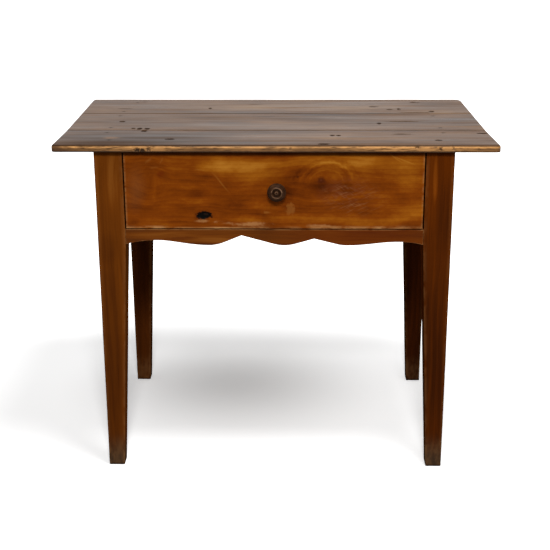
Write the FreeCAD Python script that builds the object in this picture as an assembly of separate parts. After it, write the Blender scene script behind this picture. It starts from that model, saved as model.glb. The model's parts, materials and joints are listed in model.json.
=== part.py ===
# Tavern table: nailed plank top, tapered legs, pegged aprons, scalloped front rail and one dovetailed drawer.
# Millimetres. +X to the right, -Y towards the drawer side, +Z up, origin on the floor under the top's middle.
import FreeCAD, Part
import math
import os

V = FreeCAD.Vector

# Top
table_height = 750.0
top_length = 935.0
top_waist_length = 927.0
top_back_length = 931.0
top_depth = 567.0
top_skew = 7.0
top_thickness = 16.0
front_board_width = 160.0
back_board_width = 205.0
board_gap = 0.8
tongue_projection = 6.0
tongue_thickness = 5.0
tongue_fit = 0.25
top_corner_radius = 9.0
top_upper_edge_radius = 5.0
top_lower_edge_radius = 3.0
end_overhang = 88.0
front_overhang = 21.0

# Legs
leg_width = 60.0
foot_width = 35.5
leg_arris_bevel = 1.6
foot_bevel = 2.5

# Aprons and their tenons
apron_height = 206.2
apron_thickness = 20.0
apron_setback = 3.0
tenon_thickness = 8.0
tenon_length = 28.0
tenon_top_shoulder = 25.0
tenon_bottom_shoulder = 8.0
tenon_fit = 0.15
mortise_end_room = 2.0

# Pegs through the apron tenons
peg_diameter = 8.0
peg_sides = 8
peg_from_shoulder = 12.0
peg_from_tenon_end = 30.0
peg_past_tenon = 10.0
peg_proud = 0.6
peg_fit = 0.1

# How far the scallops and the knob sit to the right of the middle, as they were set out by eye
scallop_shift = 8.0
knob_shift = 6.0

# Scalloped front rail under the drawer
rail_height = 33.7
rail_thickness = 22.0
rail_setback = 1.0
rail_tenon_thickness = 10.0
rail_tenon_length = 26.0
rail_tenon_shoulder = 5.0
cusp_offset = 78.0
left_cusp_rise = 22.0
right_cusp_rise = 15.0
lobe_offset = 148.0
lobe_radius = 85.0
lobe_drop = 1.8
middle_lobe_shift = 14.0
cove_from_leg = 76.0
left_cove_rise = 9.0
right_cove_rise = 5.5
cove_steepness = 0.3

# Runners that carry the drawer, the guides on them and the stops behind it
runner_height = 22.0
runner_inner_ledge = 10.0
runner_stub_length = 8.0
runner_stub_height = 12.0
runner_stub_shoulder = 4.0
runner_leg_clearance = 0.3
guide_height = 18.0
guide_setback = 0.5
stop_width = 40.0
stop_height = 30.0
stop_clearance = 0.3

# Drawer
drawer_gap_side = 2.5
drawer_gap_below = 2.0
drawer_gap_above = 4.0
drawer_gap_behind = 12.0
drawer_ride_clearance = 0.2
drawer_front_thickness = 22.0
drawer_front_edge_radius = 2.0
drawer_side_thickness = 12.0
drawer_side_step = 1.5
drawer_back_thickness = 12.0
drawer_back_step = 10.0
bottom_thickness = 8.0
bottom_edge_thickness = 4.5
bottom_bevel_width = 26.0
bottom_front_board_depth = 230.0
bottom_groove_depth = 6.0
bottom_groove_height = 11.0
bottom_fit = 0.25
lap_thickness = 8.0
tail_count = 4
pin_width = 9.0
dovetail_slope = 1.0 / 6.0
dovetail_fit = 0.1

# Turned knob: lengths along its axis from the drawer front, how far each round stretch bows from straight,
# and how many turned flats each one has
knob_diameter = 40.0
knob_projection = 30.0
knob_collar_diameter = 26.0
knob_collar_length = 3.0
knob_neck_length = 11.0
knob_neck_bow = 3.2
knob_head_back_diameter = 21.0
knob_head_back_bow = 2.2
knob_rim_setback = 7.5
knob_face_bow = 1.4
knob_bead_diameter = 24.0
knob_bead_bow = 1.3
knob_dish_diameter = 18.0
knob_dish_bow = 1.8
knob_button_diameter = 8.0
knob_button_rise = 1.2
knob_button_bow = 0.3
knob_flats = 3
knob_rise = 2.0
spigot_diameter = 14.0
spigot_past_front = 4.0
spigot_fit = 0.1
wedge_thickness = 2.4
wedge_tip_thickness = 0.8
wedge_length = 15.0
wedge_fit = 0.1

# Cut nails: the long ones hold the top, the small ones the guides and the drawer bottom
top_nail_shank = 3.0
top_nail_tip = 1.4
top_nail_length = 46.0
top_nail_head = 7.0
top_nail_head_thickness = 1.6
small_nail_shank = 2.0
small_nail_tip = 1.0
small_nail_length = 28.0
small_nail_head = 4.5
small_nail_head_thickness = 1.2
nail_fit = 0.1
nail_set = 0.5
nail_from_joint = 28.0
nail_past_tenon = 0.5
guide_nail_count = 3
guide_nail_from_end = 40.0
bottom_nail_count = 4
bottom_nail_from_side = 45.0

# Places worked out from the sizes above
underside = table_height - top_thickness
frame_bottom = underside - apron_height
rail_top = frame_bottom + rail_height
frame_x = top_length / 2 - end_overhang
frame_y = top_depth / 2 - front_overhang
leg_inner_x = frame_x - leg_width
leg_inner_y = frame_y - leg_width
apron_outer_x = frame_x - apron_setback
apron_inner_x = apron_outer_x - apron_thickness
apron_outer_y = frame_y - apron_setback
apron_inner_y = apron_outer_y - apron_thickness
rail_front_y = -frame_y + rail_setback
rail_back_y = rail_front_y + rail_thickness

front_board_edge = -top_depth / 2 + front_board_width
back_board_edge = top_depth / 2 - back_board_width

drawer_half = leg_inner_x - drawer_gap_side
drawer_inner = drawer_half - drawer_side_thickness
front_face_y = -frame_y
front_back_y = front_face_y + drawer_front_thickness
drawer_rear_y = apron_inner_y - drawer_gap_behind
front_low = rail_top + drawer_gap_below
front_high = underside - drawer_gap_above
side_low = rail_top + drawer_ride_clearance
side_high = front_high - drawer_side_step
groove_low = side_low + bottom_groove_height
groove_high = groove_low + bottom_edge_thickness + 2 * bottom_fit
panel_low = groove_high - bottom_fit - bottom_thickness
panel_high = panel_low + bottom_thickness
back_low = panel_high
back_high = side_high - drawer_back_step
back_front_y = drawer_rear_y - drawer_back_thickness
tail_length = drawer_front_thickness - lap_thickness
knob_z = (front_low + front_high) / 2 + knob_rise

top_nail = (top_nail_shank, top_nail_tip, top_nail_length, top_nail_head, top_nail_head_thickness)
small_nail = (small_nail_shank, small_nail_tip, small_nail_length, small_nail_head, small_nail_head_thickness)

nodes = {}


# Helpers
def box(x0, x1, y0, y1, z0, z1):
    return Part.makeBox(x1 - x0, y1 - y0, z1 - z0, V(x0, y0, z0))


def flat_face(points):
    return Part.Face(Part.makePolygon(points + points[:1]))


def prism(points, direction):
    """Straight-sided solid of a flat outline pushed along a direction."""
    return flat_face(points).extrude(direction)


def mirror_x(shape):
    return shape.mirror(V(0, 0, 0), V(1, 0, 0))


def mirror_y(shape):
    return shape.mirror(V(0, 0, 0), V(0, 1, 0))


def group(shapes):
    return Part.makeCompound(shapes)


def edges_where(shape, test):
    """Edges whose both ends satisfy a test of the end point."""
    return [e for e in shape.Edges if all(test(v.Point) for v in e.Vertexes)]


def near(a, b):
    return abs(a - b) < 1e-4


def cut_nail(sizes, fit=0.0):
    """Square cut nail pointing down, with the middle of its head's upper face at the origin."""
    shank, tip, length, head, head_thickness = sizes
    a, b, h = shank / 2 + fit, tip / 2 + fit, head / 2 + fit
    flat = shank / 2 + fit
    wedge = Part.makeWedge(-a, 0, -flat, -b, -b, a, length + fit, flat, b, b)
    wedge.rotate(V(0, 0, 0), V(1, 0, 0), -90)
    return wedge.fuse(box(-h, h, -flat, flat, -head_thickness - fit, fit)).removeSplitter()


def nail_at(sizes, place, fit=0.0, upward=False):
    nail = cut_nail(sizes, fit)
    if upward:
        nail.rotate(V(0, 0, 0), V(1, 0, 0), 180)
    nail.translate(place)
    return nail


# Nails that hold the top: one into each leg in line with the end of the side apron's tenon,
# and two more for each joint between boards into each side apron
def top_nail_places():
    leg_x = frame_x - leg_width / 2
    apron_x = (apron_inner_x + apron_outer_x) / 2
    leg_y = leg_inner_y + tenon_length + nail_past_tenon
    joint_ys = (
        front_board_edge - nail_from_joint,
        front_board_edge + board_gap + nail_from_joint,
        back_board_edge - board_gap - nail_from_joint,
        back_board_edge + nail_from_joint,
    )
    head_z = table_height - nail_set
    places = []
    for side in (-1, 1):
        places += [V(side * leg_x, y, head_z) for y in (-leg_y, leg_y)]
        places += [V(side * apron_x, y, head_z) for y in joint_ys]
    return places


def top_nail_holes():
    """Room for every nail of the top, open upwards to the surface that the heads are set below."""
    holes = []
    for place in top_nail_places():
        half = top_nail[3] / 2 + nail_fit
        flat = top_nail[0] / 2 + nail_fit
        holes.append(nail_at(top_nail, place, nail_fit))
        holes.append(box(place.x - half, place.x + half, place.y - flat, place.y + flat,
                         place.z, table_height + nail_set))
    return group(holes)


# Top boards, tongued and grooved, with worn round edges on the outside of the top only.
# The ends are out of square, and a little narrower where the front board meets the middle one.
def top_outline():
    half_y = top_depth / 2
    waist_y = front_board_edge + board_gap / 2
    lengths = ((-half_y, top_length), (waist_y, top_waist_length), (half_y, top_back_length))
    right = [V(length / 2 - top_skew * y / top_depth, y, underside) for y, length in lengths]
    left = [V(-length / 2 - top_skew * y / top_depth, y, underside) for y, length in lengths]
    return right + left[::-1]


def top_slab():
    slab = prism(top_outline(), V(0, 0, top_thickness))
    corners = [e for e in slab.Edges if near(e.BoundBox.ZLength, top_thickness)
               and near(abs(e.Vertexes[0].Y), top_depth / 2)]
    slab = slab.makeFillet(top_corner_radius, corners)
    for z, radius in ((table_height, top_upper_edge_radius), (underside, top_lower_edge_radius)):
        slab = slab.makeFillet(radius, edges_where(slab, lambda p: near(p.z, z)))
    return slab


def tongue(y_edge, direction, fit=0.0):
    """Tongue along a board's edge, or the groove for it where fit is above zero."""
    middle = (table_height + underside) / 2
    half = tongue_thickness / 2 + fit
    reach = y_edge + direction * (tongue_projection + fit)
    length = top_waist_length / 2 - top_upper_edge_radius + fit
    return box(-length, length, min(y_edge, reach), max(y_edge, reach), middle - half, middle + half)


def make_top():
    slab = top_slab()
    front_edge = front_board_edge + board_gap
    back_edge = back_board_edge - board_gap

    def board(y0, y1):
        return slab.common(box(-top_length, top_length, y0, y1, 0, 2 * table_height))

    middle = board(front_edge, back_edge)
    middle = middle.fuse(tongue(front_edge, -1)).fuse(tongue(back_edge, 1)).removeSplitter()
    front = board(-top_depth, front_board_edge).cut(tongue(front_edge, -1, tongue_fit))
    back = board(back_board_edge, top_depth).cut(tongue(back_edge, 1, tongue_fit))
    holes = top_nail_holes()
    nodes["top_front_board"] = front.cut(holes)
    nodes["top_middle_board"] = middle.cut(holes)
    nodes["top_back_board"] = back.cut(holes)
    nodes["top_nails"] = group([nail_at(top_nail, place) for place in top_nail_places()])


# Tenons, mortises and pegs of the aprons
def tenon_heights(room):
    return frame_bottom + tenon_bottom_shoulder - room, underside - tenon_top_shoulder + room


def side_tenon(end, room=0.0, extra=0.0):
    """Tenon of the right apron at its front (-1) or back (+1) end, or its mortise where room is given."""
    middle = (apron_inner_x + apron_outer_x) / 2
    half = tenon_thickness / 2 + room
    z0, z1 = tenon_heights(room)
    reach = leg_inner_y + tenon_length + extra
    y0, y1 = sorted((end * leg_inner_y, end * reach))
    return box(middle - half, middle + half, y0, y1, z0, z1)


def back_tenon(room=0.0, extra=0.0):
    """Right-hand tenon of the back apron, or its mortise where room is given."""
    middle = (apron_inner_y + apron_outer_y) / 2
    half = tenon_thickness / 2 + room
    z0, z1 = tenon_heights(room)
    return box(leg_inner_x, leg_inner_x + tenon_length + extra, middle - half, middle + half, z0, z1)


def rail_tenon(room=0.0, extra=0.0):
    """Right-hand tenon of the front rail, or its mortise where room is given."""
    middle = (rail_front_y + rail_back_y) / 2
    half = rail_tenon_thickness / 2 + room
    return box(leg_inner_x, leg_inner_x + rail_tenon_length + extra, middle - half, middle + half,
               frame_bottom + rail_tenon_shoulder - room, rail_top - rail_tenon_shoulder + room)


def peg_heights():
    z0, z1 = tenon_heights(0.0)
    return z0 + peg_from_tenon_end, z1 - peg_from_tenon_end


def peg(start, along, length, fit):
    """Peg shaved to flat sides, or the hole that it is driven into where fit is given."""
    turn = FreeCAD.Rotation(along, 360.0 / peg_sides)
    corners = [V(0, 0, peg_diameter / 2 + fit)]
    for _ in range(peg_sides - 1):
        corners.append(turn.multVec(corners[-1]))
    return prism([start - along * fit + corner for corner in corners], along * (length + 2 * fit))


def side_pegs(fit=0.0):
    """Pegs through both tenons of the right apron, or their holes where fit is given."""
    inner = (apron_inner_x + apron_outer_x - tenon_thickness) / 2 - peg_past_tenon
    length = frame_x + peg_proud - inner
    starts = [V(inner, end * (leg_inner_y + peg_from_shoulder), z) for end in (-1, 1) for z in peg_heights()]
    return group([peg(start, V(1, 0, 0), length, fit) for start in starts])


def back_pegs(fit=0.0):
    """Pegs through the right-hand tenon of the back apron, or their holes where fit is given."""
    inner = (apron_inner_y + apron_outer_y - tenon_thickness) / 2 - peg_past_tenon
    length = frame_y + peg_proud - inner
    starts = [V(leg_inner_x + peg_from_shoulder, inner, z) for z in peg_heights()]
    return group([peg(start, V(0, 1, 0), length, fit) for start in starts])


# Legs: square where the frame joins, then tapered on the two inner faces
def leg_section(width, inset, z):
    """Corners of a square with eased arrises across the right back leg, kept to its two outer faces."""
    x0, x1 = frame_x - width + inset, frame_x - inset
    y0, y1 = frame_y - width + inset, frame_y - inset
    e = leg_arris_bevel
    return [V(x0 + e, y0, z), V(x1 - e, y0, z), V(x1, y0 + e, z), V(x1, y1 - e, z),
            V(x1 - e, y1, z), V(x0 + e, y1, z), V(x0, y1 - e, z), V(x0, y0 + e, z)]


def leg_blank():
    """Right back leg before its mortises are cut, with flat faces from each section to the next."""
    sections = [leg_section(foot_width, foot_bevel, 0), leg_section(foot_width, 0, foot_bevel),
                leg_section(leg_width, 0, frame_bottom), leg_section(leg_width, 0, underside)]
    faces = [flat_face(sections[0]), flat_face(sections[-1])]
    for low, high in zip(sections, sections[1:]):
        for i in range(len(low)):
            faces.append(flat_face([low[i - 1], low[i], high[i], high[i - 1]]))
    return Part.Solid(Part.Shell(faces)).removeSplitter()


def make_legs():
    blank = leg_blank()
    front = mirror_y(blank)
    front = front.cut(side_tenon(-1, tenon_fit, mortise_end_room)).cut(side_pegs(peg_fit))
    front = front.cut(rail_tenon(tenon_fit, mortise_end_room))
    back = blank.cut(side_tenon(1, tenon_fit, mortise_end_room)).cut(side_pegs(peg_fit))
    back = back.cut(back_tenon(tenon_fit, mortise_end_room)).cut(back_pegs(peg_fit))
    holes = top_nail_holes()
    nodes["front_right_leg"] = front.cut(holes)
    nodes["front_left_leg"] = mirror_x(front).cut(holes)
    nodes["back_right_leg"] = back.cut(holes)
    nodes["back_left_leg"] = mirror_x(back).cut(holes)


# Aprons between the legs
def make_aprons():
    right = box(apron_inner_x, apron_outer_x, -leg_inner_y, leg_inner_y, frame_bottom, underside)
    right = right.fuse(side_tenon(-1)).fuse(side_tenon(1)).removeSplitter()
    right = right.cut(side_pegs(peg_fit)).cut(top_nail_holes())
    back = box(-leg_inner_x, leg_inner_x, apron_inner_y, apron_outer_y, frame_bottom, underside)
    back = back.fuse(back_tenon()).fuse(mirror_x(back_tenon())).removeSplitter()
    back = back.cut(back_pegs(peg_fit)).cut(mirror_x(back_pegs(peg_fit)))
    stub = runner_stub(1, tenon_fit)
    nodes["right_apron"] = right
    nodes["left_apron"] = mirror_x(right)
    nodes["back_apron"] = back.cut(stub).cut(mirror_x(stub))
    nodes["right_apron_pegs"] = side_pegs()
    nodes["left_apron_pegs"] = mirror_x(side_pegs())
    nodes["back_apron_pegs"] = group([back_pegs(), mirror_x(back_pegs())])


# Front rail with its hand-cut scallops: three round lobes, two sharp cusps and a cove beside each leg
def rail_point(x, rise):
    return V(x, rail_front_y, frame_bottom + rise)


def tangent_point(cusp, bottom):
    """Where the straight flank from a cusp meets the lobe's circle, whose lowest point is bottom."""
    centre = bottom + V(0, 0, lobe_radius)
    away = cusp - centre
    turn = math.acos(lobe_radius / away.Length) * (1 if cusp.x < bottom.x else -1)
    angle = math.atan2(away.z, away.x) + turn
    return centre + V(math.cos(angle), 0, math.sin(angle)) * lobe_radius


def line(a, b):
    return Part.LineSegment(a, b).toShape()


def lobe_arc(a, b, bottom):
    """Arc of a lobe between two of its points."""
    centre = bottom + V(0, 0, lobe_radius)
    middle = ((a + b) / 2 - centre).normalize() * lobe_radius + centre
    return Part.Arc(a, middle, b).toShape()


def side_wave(side, cove_rise, cusp):
    """Edges from one leg to its cusp: cove, lobe and straight flank."""
    start = rail_point(side * leg_inner_x, 0)
    top = rail_point(side * (leg_inner_x - cove_from_leg), cove_rise)
    bottom = rail_point(side * lobe_offset + scallop_shift, -lobe_drop)
    cove = Part.BSplineCurve()
    cove.interpolate(Points=[start, top, bottom],
                     InitialTangent=V(-side, 0, cove_steepness), FinalTangent=V(-side, 0, 0))
    flank = tangent_point(cusp, bottom)
    return [cove.toShape(), lobe_arc(bottom, flank, bottom), line(flank, cusp)]


def rail_outline():
    """Closed outline of the rail in its own upright plane, with the scallops along the lower edge."""
    left_cusp = rail_point(scallop_shift - cusp_offset, left_cusp_rise - lobe_drop)
    right_cusp = rail_point(scallop_shift + cusp_offset, right_cusp_rise - lobe_drop)
    middle = rail_point(scallop_shift + middle_lobe_shift, -lobe_drop)
    left_flank, right_flank = tangent_point(left_cusp, middle), tangent_point(right_cusp, middle)
    upper_left, upper_right = rail_point(-leg_inner_x, rail_height), rail_point(leg_inner_x, rail_height)
    edges = side_wave(-1, left_cove_rise, left_cusp)
    edges += [line(left_cusp, left_flank), lobe_arc(left_flank, right_flank, middle),
              line(right_flank, right_cusp)]
    edges += reversed(side_wave(1, right_cove_rise, right_cusp))
    edges += [line(rail_point(leg_inner_x, 0), upper_right), line(upper_right, upper_left),
              line(upper_left, rail_point(-leg_inner_x, 0))]
    return Part.Wire(edges)


def make_front_rail():
    rail = Part.Face(rail_outline()).extrude(V(0, rail_thickness, 0))
    rail = rail.fuse(rail_tenon()).fuse(mirror_x(rail_tenon())).removeSplitter()
    stub = runner_stub(-1, tenon_fit)
    nodes["front_rail"] = rail.cut(stub).cut(mirror_x(stub))


# Runners, guides and stops inside the frame
def runner_stub(end, fit=0.0):
    """Stub tenon of the right runner into the front rail (-1) or the back apron (+1), or its housing."""
    shoulder_y = apron_inner_y if end > 0 else rail_back_y
    reach = shoulder_y + end * (runner_stub_length + fit)
    middle = rail_top - runner_height / 2
    half = runner_stub_height / 2 + fit
    inner = drawer_inner - runner_inner_ledge + runner_stub_shoulder - fit
    outer = leg_inner_x - runner_leg_clearance - runner_stub_shoulder + fit
    return box(inner, outer, min(shoulder_y, reach), max(shoulder_y, reach), middle - half, middle + half)


def guide_nail_places(side):
    first = -leg_inner_y + guide_nail_from_end
    step = 2 * (leg_inner_y - guide_nail_from_end) / (guide_nail_count - 1)
    x = (leg_inner_x + guide_setback + apron_inner_x) / 2
    return [V(side * x, first + i * step, rail_top + guide_height) for i in range(guide_nail_count)]


def make_runners():
    inner = drawer_inner - runner_inner_ledge
    low = rail_top - runner_height
    runner = box(inner, leg_inner_x - runner_leg_clearance, rail_back_y, apron_inner_y, low, rail_top)
    wide = leg_inner_y - runner_leg_clearance
    runner = runner.fuse(box(leg_inner_x - runner_leg_clearance, apron_inner_x, -wide, wide, low, rail_top))
    runner = runner.fuse(runner_stub(-1)).fuse(runner_stub(1)).removeSplitter()
    guide = box(leg_inner_x + guide_setback, apron_inner_x, -leg_inner_y, leg_inner_y,
                rail_top, rail_top + guide_height)
    holes = group([nail_at(small_nail, place, nail_fit) for place in guide_nail_places(1)])
    runner, guide = runner.cut(holes), guide.cut(holes)
    nodes["right_runner"], nodes["left_runner"] = runner, mirror_x(runner)
    nodes["right_guide"], nodes["left_guide"] = guide, mirror_x(guide)
    nodes["guide_nails"] = group([nail_at(small_nail, place)
                                  for side in (-1, 1) for place in guide_nail_places(side)])
    stop = box(drawer_half - stop_width, drawer_half, drawer_rear_y + stop_clearance, apron_inner_y,
               rail_top, rail_top + stop_height)
    nodes["drawer_stops"] = group([stop, mirror_x(stop)])


# Drawer: dovetails are cut from the same tails on the front, the sides and the back
def tail_prisms(z0, z1, base_y, tip_y, x0, x1, fit=0.0):
    """Tails of one joint between two heights: narrow at base_y, spreading towards tip_y."""
    pitch = (z1 - z0) / tail_count
    spread = abs(tip_y - base_y) * dovetail_slope
    half_base = (pitch - pin_width) / 2 - spread / 2 + fit
    tails = []
    for i in range(tail_count):
        middle = z0 + (i + 0.5) * pitch
        outline = [V(x0, base_y, middle - half_base), V(x0, base_y, middle + half_base),
                   V(x0, tip_y, middle + half_base + spread), V(x0, tip_y, middle - half_base - spread)]
        tails.append(prism(outline, V(x1 - x0, 0, 0)))
    return tails


def front_tails(fit=0.0):
    return tail_prisms(front_low, side_high, front_back_y, front_back_y - tail_length - fit,
                       drawer_inner - fit, drawer_half + fit, fit)


def back_tails(fit=0.0):
    return tail_prisms(back_low, back_high, back_front_y, drawer_rear_y + fit,
                       drawer_inner - fit, drawer_half + fit, fit)


def side_groove():
    return box(drawer_inner, drawer_inner + bottom_groove_depth,
               front_back_y - tail_length, drawer_rear_y, groove_low, groove_high)


def make_drawer_sides():
    side = box(drawer_inner, drawer_half, front_back_y, drawer_rear_y, side_low, side_high)
    pins = box(drawer_inner, drawer_half, back_front_y, drawer_rear_y, back_low, back_high)
    for tail in back_tails():
        pins = pins.cut(tail)
    side = side.cut(pins)
    for tail in front_tails():
        side = side.fuse(tail)
    side = side.removeSplitter().cut(side_groove())
    nodes["drawer_right_side"], nodes["drawer_left_side"] = side, mirror_x(side)


def make_drawer_front():
    front = box(-drawer_half, drawer_half, front_face_y, front_back_y, front_low, front_high)
    rim = edges_where(front, lambda p: near(p.y, front_face_y))
    front = front.makeFillet(drawer_front_edge_radius, rim)
    for tail in front_tails(dovetail_fit):
        front = front.cut(tail).cut(mirror_x(tail))
    groove_half = drawer_inner + bottom_groove_depth
    front = front.cut(box(-groove_half, groove_half, front_back_y - bottom_groove_depth, front_back_y,
                          groove_low, groove_high))
    hole = Part.makeCylinder(spigot_diameter / 2 + spigot_fit, drawer_front_thickness,
                             V(knob_shift, front_face_y, knob_z), V(0, 1, 0))
    nodes["drawer_front"] = front.cut(hole)


def bottom_nail_places():
    first = -drawer_inner + bottom_nail_from_side
    step = 2 * (drawer_inner - bottom_nail_from_side) / (bottom_nail_count - 1)
    y = drawer_rear_y - drawer_back_thickness / 2
    return [V(first + i * step, y, panel_low + nail_set) for i in range(bottom_nail_count)]


def bottom_nail_holes():
    holes = []
    for place in bottom_nail_places():
        half = small_nail[3] / 2 + nail_fit
        flat = small_nail[0] / 2 + nail_fit
        holes.append(nail_at(small_nail, place, nail_fit, upward=True))
        holes.append(box(place.x - half, place.x + half, place.y - flat, place.y + flat,
                         panel_low - nail_set, place.z))
    return group(holes)


def make_drawer_back():
    back = box(-drawer_half, drawer_half, back_front_y, drawer_rear_y, back_low, back_high)
    for tail in back_tails(dovetail_fit):
        back = back.cut(tail).cut(mirror_x(tail))
    nodes["drawer_back"] = back.cut(bottom_nail_holes())


def make_drawer_bottom():
    """Two lapped boards, thinned by a bevel underneath where they enter the grooves."""
    half = drawer_inner + bottom_groove_depth - bottom_fit
    y0 = front_back_y - bottom_groove_depth + bottom_fit
    seam = y0 + bottom_front_board_depth
    panel = box(-half, half, y0, drawer_rear_y, panel_low, panel_high)
    rise = bottom_thickness - bottom_edge_thickness
    across = prism([V(half, y0, panel_low), V(half, y0, panel_low + rise),
                    V(half - bottom_groove_depth, y0, panel_low + rise),
                    V(half - bottom_bevel_width, y0, panel_low)], V(0, drawer_rear_y - y0, 0))
    ahead = prism([V(-half, y0, panel_low), V(-half, y0, panel_low + rise),
                   V(-half, y0 + bottom_groove_depth, panel_low + rise),
                   V(-half, y0 + bottom_bevel_width, panel_low)], V(2 * half, 0, 0))
    panel = panel.cut(across).cut(mirror_x(across)).cut(ahead).cut(bottom_nail_holes())
    lap = bottom_thickness
    middle = panel_low + bottom_thickness / 2
    ahead_of_seam = box(-half, half, y0, seam, panel_low, panel_high)
    upper_lap = box(-half, half, seam, seam + lap, middle, panel_high)
    front_zone = ahead_of_seam.fuse(upper_lap).removeSplitter()
    nodes["drawer_bottom_front"] = panel.common(front_zone)
    nodes["drawer_bottom_rear"] = panel.cut(front_zone)
    nodes["drawer_bottom_nails"] = group([nail_at(small_nail, place, upward=True)
                                          for place in bottom_nail_places()])


# Turned knob, held by its wedged spigot
def wedge_prism(half_width, fit=0.0):
    """Wedge driven into the end of the spigot, thick end outwards, or the split that it opens."""
    end_y = front_back_y + spigot_past_front
    tip_y = end_y - wedge_length - fit
    a, b = wedge_thickness / 2 + fit, wedge_tip_thickness / 2 + fit
    left_x = knob_shift - half_width
    outline = [V(left_x, end_y, knob_z - a), V(left_x, end_y, knob_z + a),
               V(left_x, tip_y, knob_z + b), V(left_x, tip_y, knob_z - b)]
    return prism(outline, V(2 * half_width, 0, 0))


def knob_outline():
    """Half outline of the knob and its spigot: radius along X, distance out from the drawer front along Z."""
    face = knob_projection - knob_bead_bow
    tail_end = -(drawer_front_thickness + spigot_past_front)

    def at(diameter, out):
        return V(diameter / 2, 0, out)

    def bowed(a, b, bow):
        """Points after a and up to b along a parabola that bows to the right of the way from a to b."""
        along = (b - a).normalize()
        out = V(along.z, 0, -along.x) * (4 * bow)
        shares = [i / knob_flats for i in range(1, knob_flats + 1)]
        return [a + (b - a) * t + out * (t * (1 - t)) for t in shares]

    collar = at(knob_collar_diameter, knob_collar_length)
    head_back = at(knob_head_back_diameter, knob_collar_length + knob_neck_length)
    rim = at(knob_diameter, knob_projection - knob_rim_setback)
    bead, dish = at(knob_bead_diameter, face), at(knob_dish_diameter, face)
    button, nose = at(knob_button_diameter, face), at(0, face + knob_button_rise)
    points = [at(0, tail_end), at(spigot_diameter, tail_end), at(spigot_diameter, 0),
              at(knob_collar_diameter, 0), collar]
    points += bowed(collar, head_back, -knob_neck_bow)
    points += bowed(head_back, rim, knob_head_back_bow)
    points += bowed(rim, bead, knob_face_bow)
    points += bowed(bead, dish, knob_bead_bow)
    points += bowed(dish, button, -knob_dish_bow)
    points += bowed(button, nose, knob_button_bow)
    return points


def make_knob():
    knob = flat_face(knob_outline()).revolve(V(0, 0, 0), V(0, 0, 1), 360)
    knob.rotate(V(0, 0, 0), V(1, 0, 0), 90)
    knob.translate(V(knob_shift, front_face_y, knob_z))
    spigot = Part.makeCylinder(spigot_diameter / 2, drawer_front_thickness + spigot_past_front,
                               V(knob_shift, front_face_y, knob_z), V(0, 1, 0))
    nodes["drawer_knob"] = knob.cut(wedge_prism(spigot_diameter, wedge_fit))
    nodes["knob_wedge"] = wedge_prism(spigot_diameter).common(spigot)


def export_nodes():
    os.makedirs("parts", exist_ok=True)
    for name, shape in nodes.items():
        shape.exportStep("parts/" + name + ".step")


make_top()
make_legs()
make_aprons()
make_front_rail()
make_runners()
make_drawer_sides()
make_drawer_front()
make_drawer_back()
make_drawer_bottom()
make_knob()
export_nodes()
for name, shape in nodes.items():
    print(name, "solids", len(shape.Solids), "valid", shape.isValid(), "volume", round(shape.Volume))
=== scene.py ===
import bpy
import bmesh
import json
import math
from mathutils import Color, Matrix, Vector, noise


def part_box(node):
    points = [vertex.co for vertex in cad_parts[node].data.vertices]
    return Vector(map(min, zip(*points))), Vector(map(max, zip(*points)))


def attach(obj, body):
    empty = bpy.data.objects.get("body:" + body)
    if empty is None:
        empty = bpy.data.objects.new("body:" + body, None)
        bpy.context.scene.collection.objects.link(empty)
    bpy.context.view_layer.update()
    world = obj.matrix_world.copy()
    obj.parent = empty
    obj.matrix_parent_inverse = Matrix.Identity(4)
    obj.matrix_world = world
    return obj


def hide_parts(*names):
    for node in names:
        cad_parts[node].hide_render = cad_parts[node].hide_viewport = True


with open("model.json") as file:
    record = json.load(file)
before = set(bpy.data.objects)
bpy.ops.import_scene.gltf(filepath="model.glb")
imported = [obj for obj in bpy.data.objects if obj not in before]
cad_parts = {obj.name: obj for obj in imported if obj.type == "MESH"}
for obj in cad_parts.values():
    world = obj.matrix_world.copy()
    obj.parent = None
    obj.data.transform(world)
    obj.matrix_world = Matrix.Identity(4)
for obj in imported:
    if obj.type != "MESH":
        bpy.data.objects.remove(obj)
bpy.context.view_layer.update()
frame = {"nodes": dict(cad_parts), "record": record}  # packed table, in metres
cadNodes = frame["nodes"]
slotOf = {part["node"]: part["material_slot"] for part in frame["record"]["subparts"]}
scene = bpy.context.scene
scene.view_settings.view_transform = "Standard"
print("frame loaded:", len(cadNodes), "nodes")

axes = {"x": Vector((1, 0, 0)), "y": Vector((0, 1, 0)), "z": Vector((0, 0, 1))}

# Shader helpers
def put(tree, kind, sockets=None, **settings):
    node = tree.nodes.new(kind)
    for key, value in settings.items():
        setattr(node, key, value)
    for key, value in (sockets or {}).items():
        if isinstance(value, bpy.types.NodeSocket):
            tree.links.new(value, node.inputs[key])
        else:
            node.inputs[key].default_value = value
    return node

def calc(tree, operation, a, b=0.0, c=0.0):
    return put(tree, "ShaderNodeMath", {0: a, 1: b, 2: c}, operation=operation).outputs[0]

def vectorCalc(tree, operation, a, b=(0.0, 0.0, 0.0)):
    return put(tree, "ShaderNodeVectorMath", {0: a, 1: b}, operation=operation).outputs[0]

def stretchBy(tree, vector, amount):
    return put(tree, "ShaderNodeVectorMath", {0: vector, "Scale": amount}, operation="SCALE").outputs[0]

def lengthOf(tree, vector):
    return put(tree, "ShaderNodeVectorMath", {0: vector}, operation="LENGTH").outputs["Value"]

def mapped(tree, vector, kind="POINT", **sockets):
    return put(tree, "ShaderNodeMapping", {"Vector": vector, **sockets}, vector_type=kind).outputs[0]

def blendColour(tree, amount, under, over):
    return put(tree, "ShaderNodeMix", {0: amount, 6: under, 7: over}, data_type="RGBA").outputs[2]

def speckle(tree, point, fineness, detail=3.0, rough=0.55, output="Fac"):
    scaled = mapped(tree, point, Scale=fineness)
    sockets = {"Vector": scaled, "Scale": 1.0, "Detail": detail, "Roughness": rough}
    return put(tree, "ShaderNodeTexNoise", sockets).outputs[output]

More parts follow.
